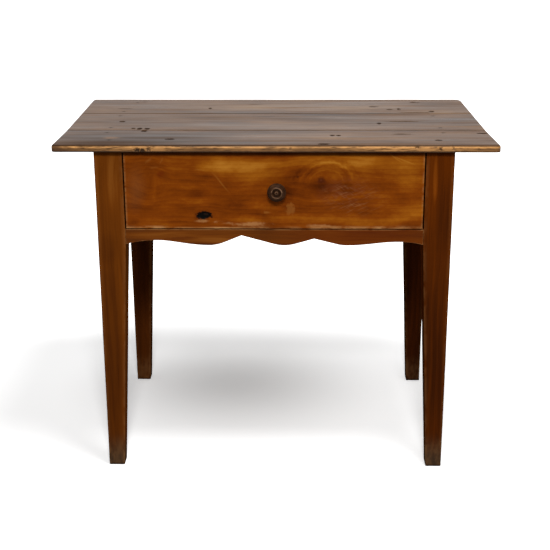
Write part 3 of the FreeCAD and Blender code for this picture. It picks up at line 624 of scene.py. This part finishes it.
def boardWearAndHighlight(board, co):
    wearAndHighlight = top["wearAndHighlight"]
    share = shareUp(board, co)
    amount = wearAndHighlight["mean"] + wearAndHighlight["vary"] * wobble(co, *wearAndHighlight["noise"])
    # a painted highlight in a band along the rounding of each edge
    amount += dip(co, 1.0, *wearAndHighlight["highlightNoise"]) * fade(abs(share - wearAndHighlight["highlightAt"]), *wearAndHighlight["pale"])
    if board["isFront"]:  # the front edge is rubbed, with a painted highlight, at two places, and less at its ends
        amount += sum(soft(abs(co.x - at), *rub) for at, *rub in wearAndHighlight["rubsAndHighlights"])
        amount += soft(board["high"].x - abs(co.x), *wearAndHighlight["ends"])
    inward = fade(edgeDepth(board, co), *wearAndHighlight["inward"])
    return inward * fade(abs(share - 0.5), *wearAndHighlight["level"]) * amount

# darker towards the underside of each edge and in a line near its upper arris, and darker in the chips,
# round the nails, along the joints and in the pits
def boardDarkening(board, nails, co):
    grimeAndShade = top["grimeAndShade"]
    share = shareUp(board, co)
    chip = min(grimeAndShade["chipMost"], grimeAndShade["chip"] * chipCut(co, share)) if board["isFront"] else 0.0
    edge = max(soft(share, *grimeAndShade["under"]), soft(abs(share - grimeAndShade["lineAt"]), *grimeAndShade["line"]), chip)
    edge *= fade(edgeDepth(board, co), *grimeAndShade["inward"])
    nail = soft(min((co.xy - nail.xy).length for nail in nails), *grimeAndShade["nail"])
    joint = grimeAndShade["jointMean"] + grimeAndShade["jointVary"] * wobble(co, *grimeAndShade["jointNoise"])
    joint *= fade(jointDepth(board, co), *grimeAndShade["joint"])
    pits = [pit["cover"] * fade(markReach(co, pit), *grimeAndShade["pit"]) for pit in board["pits"] if share > 0.5]
    return max(edge, nail, joint, *pits)

def makeTopBoard(node, material, nails):
    board = boardOf(node)
    bm = boardBlank(board)
    refineDamage(bm, board)
    shapeTop(bm, board, nails)
    if node == "top_middle_board":
        addTongues(bm, board["low"], board["high"])
    piece = finishPiece(node + "_worn", bm, "table", node, material)
    paintVerts(piece, "wearAndHighlight", lambda co: boardWearAndHighlight(board, co))
    paintVerts(piece, "grimeAndShade", lambda co: boardDarkening(board, nails, co))

nails = nailPlaces()
for node, material in topMaterials().items():
    makeTopBoard(node, material, nails)
print("top boards made,", len(nails), "nail heads")

# Legs
leg = {"arris": (0.0022, 3), "footRim": (0.0025, 2), "step": 0.006, "across": 7, "steepRise": 0.1,
       "levelRise": 0.001, "wideEdge": 0.02, "dent": 0.0009, "dentFrom": 0.25, "dentNoise": (0.02, 7.0),
       "wave": (0.0003, 0.05, 1.0), "wearAndHighlight": (0.15, 0.0012, 0.004), "paintedGapShade": (0.95, 0.0008, 0.002),
       "gapShadeDeep": (0.006, 0.003), "overhangShadow": (0.6, 0.004, 0.0095), "footGrime": (0.4, 0.001, 0.006),
       "footGrey": colour(54, 43, 32)}

def legMaterials():  # marks are placed by height and by x
    shared = {"grain": "z", "across": "x", "rings": 0.05, "patch": 0.5, "patchSize": (2.0, 14.0, 14.0),
              "streak": 0.4, "line": 0.06, "fibre": 0.16, "gloss": 0.0, "shine": (0.42, 0.56)}

    def foot(x, grey):
        return (paintAt(-10, x, 100, 200, grey, leg["footGrey"], core=0.2),
                paintAt(20, x, 60, 200, 0.12, scuff, broken=True))

    left = (tintAt(120, -350, 500, 1000, -0.24), markAt(660, -342, 80, 12, lift=0.1),
            markAt(520, -360, 50, 30, lift=-0.08), markAt(680, -360, 100, 60, lift=0.05))
    right = (tintAt(200, 350, 500, 1000, -0.2), markAt(675, 343, 70, 7, lift=0.22),
             markAt(600, 362, 120, 20, lift=-0.1), markAt(660, 335, 120, 30, lift=0.05))
    # painted shade: the back legs are darker still in their upper part, under the table
    paintedShadeAbove = (tintAt(600, 0, 350, 1000, -0.25),)
    return {"front_left_leg": woodFinish("leftLegWood", **shared, stops=legStops, tone=0.59,
                                         pith=(0.0, -0.3, -0.1), marks=left, paints=foot(-350, 0.85)),
            "front_right_leg": woodFinish("rightLegWood", **shared, stops=redLegStops, tone=0.59,
                                          pith=(0.0, 0.45, -0.1), offset=(2.0, 0.3, 0.0), marks=right,
                                          paints=foot(350, 0.85)),
            # the back legs' lower tone is painted shade too
            "back_left_leg": woodFinish("backLeftLegShadedWood", **shared, stops=legStops, tone=0.26,
                                        pith=(0.0, -0.3, 0.4), offset=(4.0, 0.1, 0.0), marks=paintedShadeAbove,
                                        paints=foot(-350, 0.2)),
            "back_right_leg": woodFinish("backRightLegShadedWood", **shared, stops=redLegStops, tone=0.26,
                                         pith=(0.0, 0.3, 0.4), offset=(6.0, 0.2, 0.0), marks=paintedShadeAbove,
                                         paints=foot(350, 0.2))}

def footBox(node):  # outline of the leg just above its foot
    height = leg["footRim"][0]
    rim = [v.co for v in cadNodes[node].data.vertices if abs(v.co.z - height) < closeness["near"]]
    return [(min(p[i] for p in rim), max(p[i] for p in rim)) for i in (0, 1)]

def legBlank(low, high, foot, taperTop):  # square above, tapered to the foot, finely divided
    bm = boxMesh(low, high)
    sliceMesh(bm, (0, 0, taperTop), (0, 0, 1))
    for vert in bm.verts:
        if vert.co.z < closeness["same"]:
            for i in (0, 1):
                vert.co[i] = min(max(vert.co[i], foot[i][0]), foot[i][1])

    def rise(edge):
        return abs(edge.verts[0].co.z - edge.verts[1].co.z)

    roundOver(bm, [e for e in bm.edges if rise(e) > leg["steepRise"]], *leg["arris"])
    under = [e for e in bm.edges if all(v.co.z < closeness["same"] for v in e.verts)]
    roundOver(bm, under, *leg["footRim"])
    for above in (True, False):
        edges = [e for e in bm.edges if rise(e) > leg["steepRise"] and (middleOf(e).z > taperTop) == above]
        refine(bm, edges, round(edges[0].calc_length() / leg["step"]) - 1)
    level = [e for e in bm.edges if rise(e) < leg["levelRise"] and e.calc_length() > leg["wideEdge"]]
    refine(bm, level, leg["across"])
    return bm

def makeLeg(node, material):
    low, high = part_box(node)
    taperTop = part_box("left_apron")[0].z
    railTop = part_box("front_rail")[1].z
    foot = footBox(node)
    inner = low.x if abs(low.x) < abs(high.x) else high.x
    bm = legBlank(low, high, foot, taperTop)

    def sides(co):  # the leg's faces at this height
        down = min(max((taperTop - co.z) / taperTop, 0.0), 1.0)
        return [(low[i] + (foot[i][0] - low[i]) * down, high[i] + (foot[i][1] - high[i]) * down)
                for i in (0, 1)]

    for vert in bm.verts:  # dents and soft waves, pressed in
        centre = Vector([sum(pair) / 2 for pair in sides(vert.co)] + [vert.co.z])
        inward = (centre - vert.co).normalized()
        dent = max(wobble(vert.co, *leg["dentNoise"]) - leg["dentFrom"], 0.0) * leg["dent"]
        vert.co += inward * (dent + dip(vert.co, *leg["wave"]))
    piece = finishPiece(node + "_worn", bm, "table", node, material)

    def cornerWearAndHighlight(co):
        # rubbed arrises, painted also as highlights along them
        away = [min(co[i] - pair[0], pair[1] - co[i]) for i, pair in enumerate(sides(co))]
        return soft(max(away), *leg["wearAndHighlight"])

    def legGrimeAndShade(co):  # grime at the foot, painted shadow under the top and painted shade in the gap beside the drawer front
        gapShade = soft(abs(co.x - inner), *leg["paintedGapShade"]) * fade(co.y - low.y, *leg["gapShadeDeep"])
        beside = gapShade if co.z > railTop and low.y < 0 else 0.0
        return max(soft(co.z, *leg["footGrime"]), soft(high.z - co.z, *leg["overhangShadow"]), beside)

    paintVerts(piece, "wearAndHighlight", cornerWearAndHighlight)
    paintVerts(piece, "grimeAndShade", legGrimeAndShade)

for node, material in legMaterials().items():
    makeLeg(node, material)
print("legs made")

# Frame boards and drawer box
boards = {"railEase": (0.0012, 3), "apronEase": (0.001, 2), "innerEase": (0.0007, 2), "easedWear": 0.5}

def easedCopy(node, ease, body, material):  # the solid with its sharp edges worn
    bm = copyMesh(node)
    layer = bm.faces.layers.float.new("wearAndHighlight")
    sharp = math.radians(closeness["sharpAngle"])
    edges = [e for e in bm.edges if len(e.link_faces) == 2 and e.calc_face_angle() > sharp]
    for face in roundOver(bm, edges, *boards[ease]):
        face[layer] = boards["easedWear"]
    finishPiece(node + "_eased", bm, body, node, material, smooth=False)

def makeFrameBoards():
    tints = (markAt(-240, 548, 120, 12, lift=0.22), markAt(-160, 535, 140, 10, lift=0.14),
             markAt(260, 545, 240, 60, lift=-0.16), markAt(20, 545, 120, 60, lift=-0.2))
    redder = (paintAt(190, 545, 240, 90, 0.55, colour(82, 29, 3), core=0.2),
              paintAt(-200, 540, 50, 6, 0.5, colour(70, 25, 4), ragged=0.8))
    rail = woodFinish("railWood", stops=legStops, pith=(0.0, 0.5, 0.2), tone=0.54, rings=0.1, marks=tints,
                      paints=redder)
    sides = woodFinish("apronWood", grain="y", stops=legStops, pith=(0.0, 0.55, 0.2), tone=0.55)
    rear = woodFinish("backApronWood", stops=legStops, pith=(0.0, 0.6, -0.1), offset=(1.7, 0.2, 0.4))
    easedCopy("front_rail", "railEase", "table", rail)
    easedCopy("back_apron", "apronEase", "table", rear)
    for node in ("left_apron", "right_apron"):
        easedCopy(node, "apronEase", "table", sides)

def makeDrawerBox():
    bare = {"stops": innerStops, "gloss": 0.2, "shine": (0.5, 0.65)}
    across = woodFinish("innerAcrossWood", **bare, pith=(0.0, 0.6, 0.2))
    deep = woodFinish("innerDeepWood", **bare, grain="y", pith=(0.0, 0.6, 0.1))
    for node in ("left_runner", "right_runner", "left_guide", "right_guide"):
        easedCopy(node, "innerEase", "table", deep)
    easedCopy("drawer_stops", "innerEase", "table", across)
    for node in ("drawer_left_side", "drawer_right_side"):
        easedCopy(node, "innerEase", "drawer", deep)
    for node in ("drawer_back", "drawer_bottom_front", "drawer_bottom_rear"):
        easedCopy(node, "innerEase", "drawer", across)
    return across

makeFrameBoards()
innerAcross = makeDrawerBox()
print("frame boards and drawer box eased")

# Drawer front
front = {"step": 0.003, "edge": (0.002, 3), "slab": 0.0075, "backSkin": 0.001, "wave": (0.0004, 0.09, 6.0),
         "knotAt": (-0.1494, 0.5923), "knotSize": (0.0165, 0.0085), "knotDeep": 0.0045,
         "knotWall": (0.55, 1.05), "knotTorn": 0.3, "knotNoise": (0.006, 9.0), "knotZone": 0.026,
         "knotCuts": 2, "edgeDent": (0.0014, 0.0, 0.006), "dentNoise": (0.018, 8.0), "wearDeep": 0.004,
         "footWear": (0.002, 0.007), "footTorn": 0.005, "footNoise": (0.06, 4.0), "footMean": 0.5,
         "footVary": 0.9, "footPatches": (0.05, 2.0), "sideWear": (0.25, 0.0025, 0.0045),
         "paintedGapShade": (0.95, 0.0008, 0.002), "gapShadeDeep": (0.004, 0.0015), "overhangShadow": (0.62, 0.004, 0.0095),
         "overhangShadowDeep": (0.0015, 0.004)}

def drawerFrontTints():  # golden and darker places, a painted shadow beside the knob, and arches over the knot
    golden = ((-60, 702, 120, 40, 0.4), (110, 712, 190, 26, 0.3), (285, 695, 70, 60, 0.4),
              (280, 600, 80, 60, 0.26), (-30, 614, 50, 20, 0.24), (40, 585, 120, 20, 0.08),
              (200, 584, 140, 16, 0.12), (-50, 582, 60, 16, 0.26), (205, 708, 80, 32, 0.5),
              (215, 680, 60, 30, 0.16), (222, 630, 60, 40, 0.18), (285, 655, 40, 26, 0.22),
              (-120, 701, 54, 28, 0.24), (-250, 650, 8, 40, 0.08))
    darkerAndKnobShadow = ((-188, 667, 60, 8, -0.12), (-200, 650, 70, 6, -0.1), (-180, 683, 40, 4, -0.08),
              (-235, 680, 14, 12, -0.1), (134, 653, 66, 28, -0.22), (98, 652, 46, 32, -0.34),
              (50, 640, 40, 40, -0.14), (-100, 630, 90, 26, -0.08), (-190, 590, 50, 5, -0.08),
              (-200, 578, 60, 4, -0.08), (-160, 643, 40, 16, -0.2), (-300, 577, 36, 20, -0.2),
              # the last place, right of the knob and below its middle, is the knob's painted shadow
              (100, 577, 120, 10, -0.1), (285, 577, 44, 16, -0.24), (24, 642, 22, 26, -0.2))
    arches = ((37, 30, 0.09), (48, 41, -0.1), (57, 48, 0.13), (72, 55, -0.09))
    return ([tintAt(*row) for row in golden + darkerAndKnobShadow]
            + [tintAt(113, 662, *row, band=0.08, ragged=0.22, arch=True) for row in arches])

def drawerFrontPaints():  # knots, rubbed places, scratches and scuffs
    x, z = [1000 * place for place in front["knotAt"]]
    rubbedAndHighlit = colour(152, 98, 42)
    scratch = colour(156, 114, 70)
    pale = colour(186, 126, 44)
    return (paintAt(x - 2, z, 26, 16, 0.5, colour(64, 22, 6), core=0.2, ragged=0.8),
            paintAt(x, z, 18.5, 10.5, 1.0, colour(9, 8, 7), core=0.7, ragged=1.1),
            paintAt(-146, 594, 7, 3, 0.35, colour(52, 34, 24), ragged=1.5),
            paintAt(-153, 579, 20, 5, 0.55, scuff, broken=True, ragged=1.2),
            paintAt(102, 668, 13, 12, 0.85, colour(66, 26, 8), core=0.3, ragged=0.8),
            paintAt(101, 669, 4, 3, 0.4, colour(96, 50, 30), ragged=0.8),
            paintAt(51, 678, 4, 3.5, 0.75, colour(60, 24, 6), ragged=0.8),
            paintAt(-148, 693, 22, 1.6, 0.3, rubbedAndHighlit, turn=-3, broken=True),
            paintAt(-112, 668, 40, 3.0, 0.34, colour(150, 94, 34), turn=-54, core=0.0),
            # painted sheen: three pale swirls of reflected light at the upper left
            paintAt(-266, 710, 13, 4, 0.24, rubbedAndHighlit, turn=40, core=0.0, ragged=1.0),
            paintAt(-238, 712, 10, 3, 0.24, rubbedAndHighlit, turn=62, core=0.0, ragged=1.0),
            paintAt(-252, 697, 16, 4, 0.18, rubbedAndHighlit, turn=10, core=0.0, ragged=1.0),
            paintAt(-290, 650, 30, 70, 0.2, colour(120, 80, 44), core=0.0),
            paintAt(-237, 681, 12, 10, 0.35, colour(92, 26, 4), ragged=1.0),
            paintAt(155, 640, 80, 42, 0.6, colour(96, 44, 20), core=0.15, broken=True, ragged=0.8),
            paintAt(168, 632, 84, 50, 0.24, scratch, core=0.0, hatch=24, broken=True),
            paintAt(160, 642, 74, 46, 0.2, scratch, core=0.0, hatch=-40, broken=True),
            paintAt(34, 609, 11, 17, 0.3, rubbedAndHighlit, core=0.5, ragged=1.2),
            paintAt(-16, 601, 10, 4, 0.35, rubbedAndHighlit, ragged=1.2),
            paintAt(275, 710, 36, 2.4, 0.28, pale, turn=-24),
            paintAt(256, 716, 26, 2, 0.22, pale, turn=-38),
            paintAt(-111, 576, 26, 5, 0.6, scuff, broken=True, ragged=1.0),
            paintAt(-50, 574, 50, 7, 0.65, scuff, broken=True, ragged=1.0),
            paintAt(95, 571, 40, 5, 0.6, scuff, broken=True, ragged=1.0))

def drawerFrontMaterial():
    knots = (markAt(101.7, 668, 130, 75, pull=0.8),
             {"at": front["knotAt"], "size": (0.06, 0.035), "pull": 0.7},
             markAt(-262, 665, 60, 60, pull=0.9))
    return woodFinish("drawerFrontWood", stops=frontStops, pith=(0.0, 0.3, 0.16), lean=(0.0, 0.02),
                      ring=0.0095, rings=0.07, tone=0.42, patch=0.9, patchSize=(6.0, 15.0, 15.0),
                      streak=0.34, streakSize=(3.5, 28.0, 28.0), line=0.03, fibre=0.12, mottle=0.5,
                      wander=0.03, gloss=0.01, knots=knots, marks=drawerFrontTints(),
                      paints=drawerFrontPaints(), worn=colour(178, 130, 80))

def shapeFront(bm, low, high, split):  # knot hole, waves and dented edges
    knot = Vector(front["knotAt"])
    near = [e for e in bm.edges if middleOf(e).y < low.y + closeness["same"]
            and (middleOf(e).xz - knot).length < front["knotZone"]]
    refine(bm, near, front["knotCuts"])
    for vert in bm.verts:
        if vert.co.y > split - front["backSkin"]:
            continue
        away = vert.co.xz - knot
        away = Vector((away.x / front["knotSize"][0], away.y / front["knotSize"][1])).length
        away += front["knotTorn"] * wobble(vert.co, *front["knotNoise"])
        vert.co.y += front["knotDeep"] * fade(away, *front["knotWall"])
        vert.co.y += dip(vert.co, *front["wave"])
        edge = min(vert.co.x - low.x, high.x - vert.co.x, vert.co.z - low.z, high.z - vert.co.z)
        vert.co.y += soft(edge, *front["edgeDent"]) * max(wobble(vert.co, *front["dentNoise"]), 0.0)

def makeDrawerFront(material):
    low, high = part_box("drawer_front")
    split = low.y + front["slab"]
    bm = boxMesh(low, Vector((high.x, split, high.z)))
    facing = [e for e in bm.edges if abs(middleOf(e).y - low.y) < closeness["same"]]
    roundOver(bm, facing, *front["edge"])
    divide(bm, "x", front["step"])
    divide(bm, "z", front["step"])
    shapeFront(bm, low, high, split)
    rear = copyMesh("drawer_front")  # back part keeps the dovetail sockets
    cut = sliceMesh(rear, (0, split, 0), (0, 1, 0), keepBeyond=True)["geom_cut"]
    bmesh.ops.edgeloop_fill(rear, edges=[e for e in cut if isinstance(e, bmesh.types.BMEdge)])
    joinMesh(bm, rear)
    piece = finishPiece("drawer_front_worn", bm, "drawer", "drawer_front", material)
    for polygon in piece.data.polygons:
        polygon.use_smooth = polygon.center.y < split - closeness["same"]

    def edgeWear(co):
        if co.y > low.y + front["wearDeep"]:
            return 0.0
        start, end = front["footWear"]
        end += front["footTorn"] * wobble(co, *front["footNoise"])
        patches = front["footMean"] + front["footVary"] * wobble(co, *front["footPatches"])
        return max(soft(co.z - low.z, patches, start, end),
                   soft(min(co.x - low.x, high.x - co.x), *front["sideWear"]))

    # painted shade in the gaps beside the legs and painted shadow of the top's overhang along the upper edge
    def gapAndOverhangShade(co):
        deep = co.y - low.y
        gapShade = soft(min(co.x - low.x, high.x - co.x), *front["paintedGapShade"]) * fade(deep, *front["gapShadeDeep"])
        return max(gapShade, soft(high.z - co.z, *front["overhangShadow"]) * fade(deep, *front["overhangShadowDeep"]))

    paintVerts(piece, "wearAndHighlight", edgeWear)
    paintVerts(piece, "grimeAndShade", gapAndOverhangShade)

makeDrawerFront(drawerFrontMaterial())
print("drawer front made")

# Knob: the same turned outline as the solid, rounder, with its wedged spigot kept
knob = {"diameter": 0.04, "projection": 0.0299, "collar": 0.026, "collarLong": 0.003, "neckLong": 0.011,
        "neckBow": -0.0032, "backDiameter": 0.021, "backBow": 0.0022, "rimSetback": 0.0075,
        "faceBow": 0.0014, "bead": 0.024, "beadBow": 0.0012, "dish": 0.018, "dishBow": -0.0018,
        "button": 0.008, "buttonRise": 0.0012, "buttonBow": 0.0003, "flats": 9, "straightFlats": 2,
        "steps": 72, "wearIn": 0.001, "beadWearAndHighlight": (0.55, 0.0004, 0.0016),
        "buttonWearAndHighlight": (0.3, 0.0003, 0.0012), "wearOut": (0.027, 0.025), "dishDarkAt": 0.0065,
        "dishDarkening": (0.6, 0.001, 0.003), "dishDarkOut": (0.026, 0.022), "lowerRimShade": (0.5, 0.018, 0.009)}

def knobOutline():  # radius and distance out from the drawer front
    face = knob["projection"] - knob["beadBow"]
    back = knob["collarLong"] + knob["neckLong"]
    corners = [(knob["collar"], 0.0, 0.0), (knob["collar"], knob["collarLong"], 0.0),
               (knob["backDiameter"], back, knob["neckBow"]),
               (knob["diameter"], knob["projection"] - knob["rimSetback"], knob["backBow"]),
               (knob["bead"], face, knob["faceBow"]), (knob["dish"], face, knob["beadBow"]),
               (knob["button"], face, knob["dishBow"]), (0.0, face + knob["buttonRise"], knob["buttonBow"])]
    points = [Vector((corners[0][0] / 2, 0.0))]
    for diameter, out, bow in corners[1:]:  # each stretch bows like a parabola
        start, end = points[-1], Vector((diameter / 2, out))
        way = (end - start).normalized()
        side = Vector((way.y, -way.x)) * 4 * bow
        count = knob["flats"] if bow else knob["straightFlats"]
        for i in range(1, count + 1):
            t = i / count
            points.append(start.lerp(end, t) + side * t * (1 - t))
    return points

def makeKnob():
    low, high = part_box("drawer_knob")
    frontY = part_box("drawer_front")[0].y
    axis = Vector(((low.x + high.x) / 2, frontY, (low.z + high.z) / 2))
    bm = bmesh.new()
    verts = [bm.verts.new(axis + Vector((p.x, -p.y, 0))) for p in knobOutline()]
    edges = [bm.edges.new(pair) for pair in zip(verts, verts[1:])]
    bmesh.ops.spin(bm, geom=verts + edges, cent=axis, axis=(0, 1, 0), angle=2 * math.pi, steps=knob["steps"],
                   use_merge=True)
    weld(bm)
    spigot = copyMesh("drawer_knob")
    sliceMesh(spigot, (0, frontY + closeness["same"], 0), (0, 1, 0), keepBeyond=True)
    joinMesh(bm, spigot)
    wood = woodFinish("knobWood", grain="y", stops=knobStops, pith=(0.0, axis.z, axis.x), ring=0.004,
                      tone=0.52, gloss=0.015, shine=(0.3, 0.42), worn=colour(140, 106, 80))
    piece = finishPiece("drawer_knob_turned", bm, "drawer", "drawer_knob", wood)

    def knobWearAndHighlight(co):  # worn rings on the bead and the button, which are painted highlights too
        radius = (co.xz - axis.xz).length + knob["wearIn"]
        bead = soft(abs(radius - knob["bead"] / 2), *knob["beadWearAndHighlight"])
        button = soft(abs(radius - knob["button"] / 2), *knob["buttonWearAndHighlight"])
        return max(bead, button) * fade(axis.y - co.y, *knob["wearOut"])

    def knobDarkening(co):  # darker in the dish, and painted shade on the lower rim
        radius = (co.xz - axis.xz).length
        dish = soft(abs(radius - knob["dishDarkAt"]), *knob["dishDarkening"])
        dish *= fade(axis.y - co.y, *knob["dishDarkOut"])
        return max(dish, soft(axis.z - co.z, *knob["lowerRimShade"]))

    paintVerts(piece, "wearAndHighlight", knobWearAndHighlight)
    paintVerts(piece, "grimeAndShade", knobDarkening)

makeKnob()
print("knob turned")

# Pegs, nails and wedge keep their solids
def dressSmallPieces():
    peg = woodFinish("pegWood", stops=redLegStops, pith=(0.0, 0.6, 0.2), tone=0.3)
    iron = woodFinish("nailIron", stops=ironStops, rings=0.0, gloss=0.3, shine=(0.5, 0.7))
    for node, solid in cadNodes.items():
        material = {"peg_wood": peg, "nail_iron": iron}.get(slotOf[node])
        if node == "knob_wedge":
            material = innerAcross
        if material:
            solid.data.materials.clear()
            solid.data.materials.append(material)

dressSmallPieces()
print("small pieces dressed")
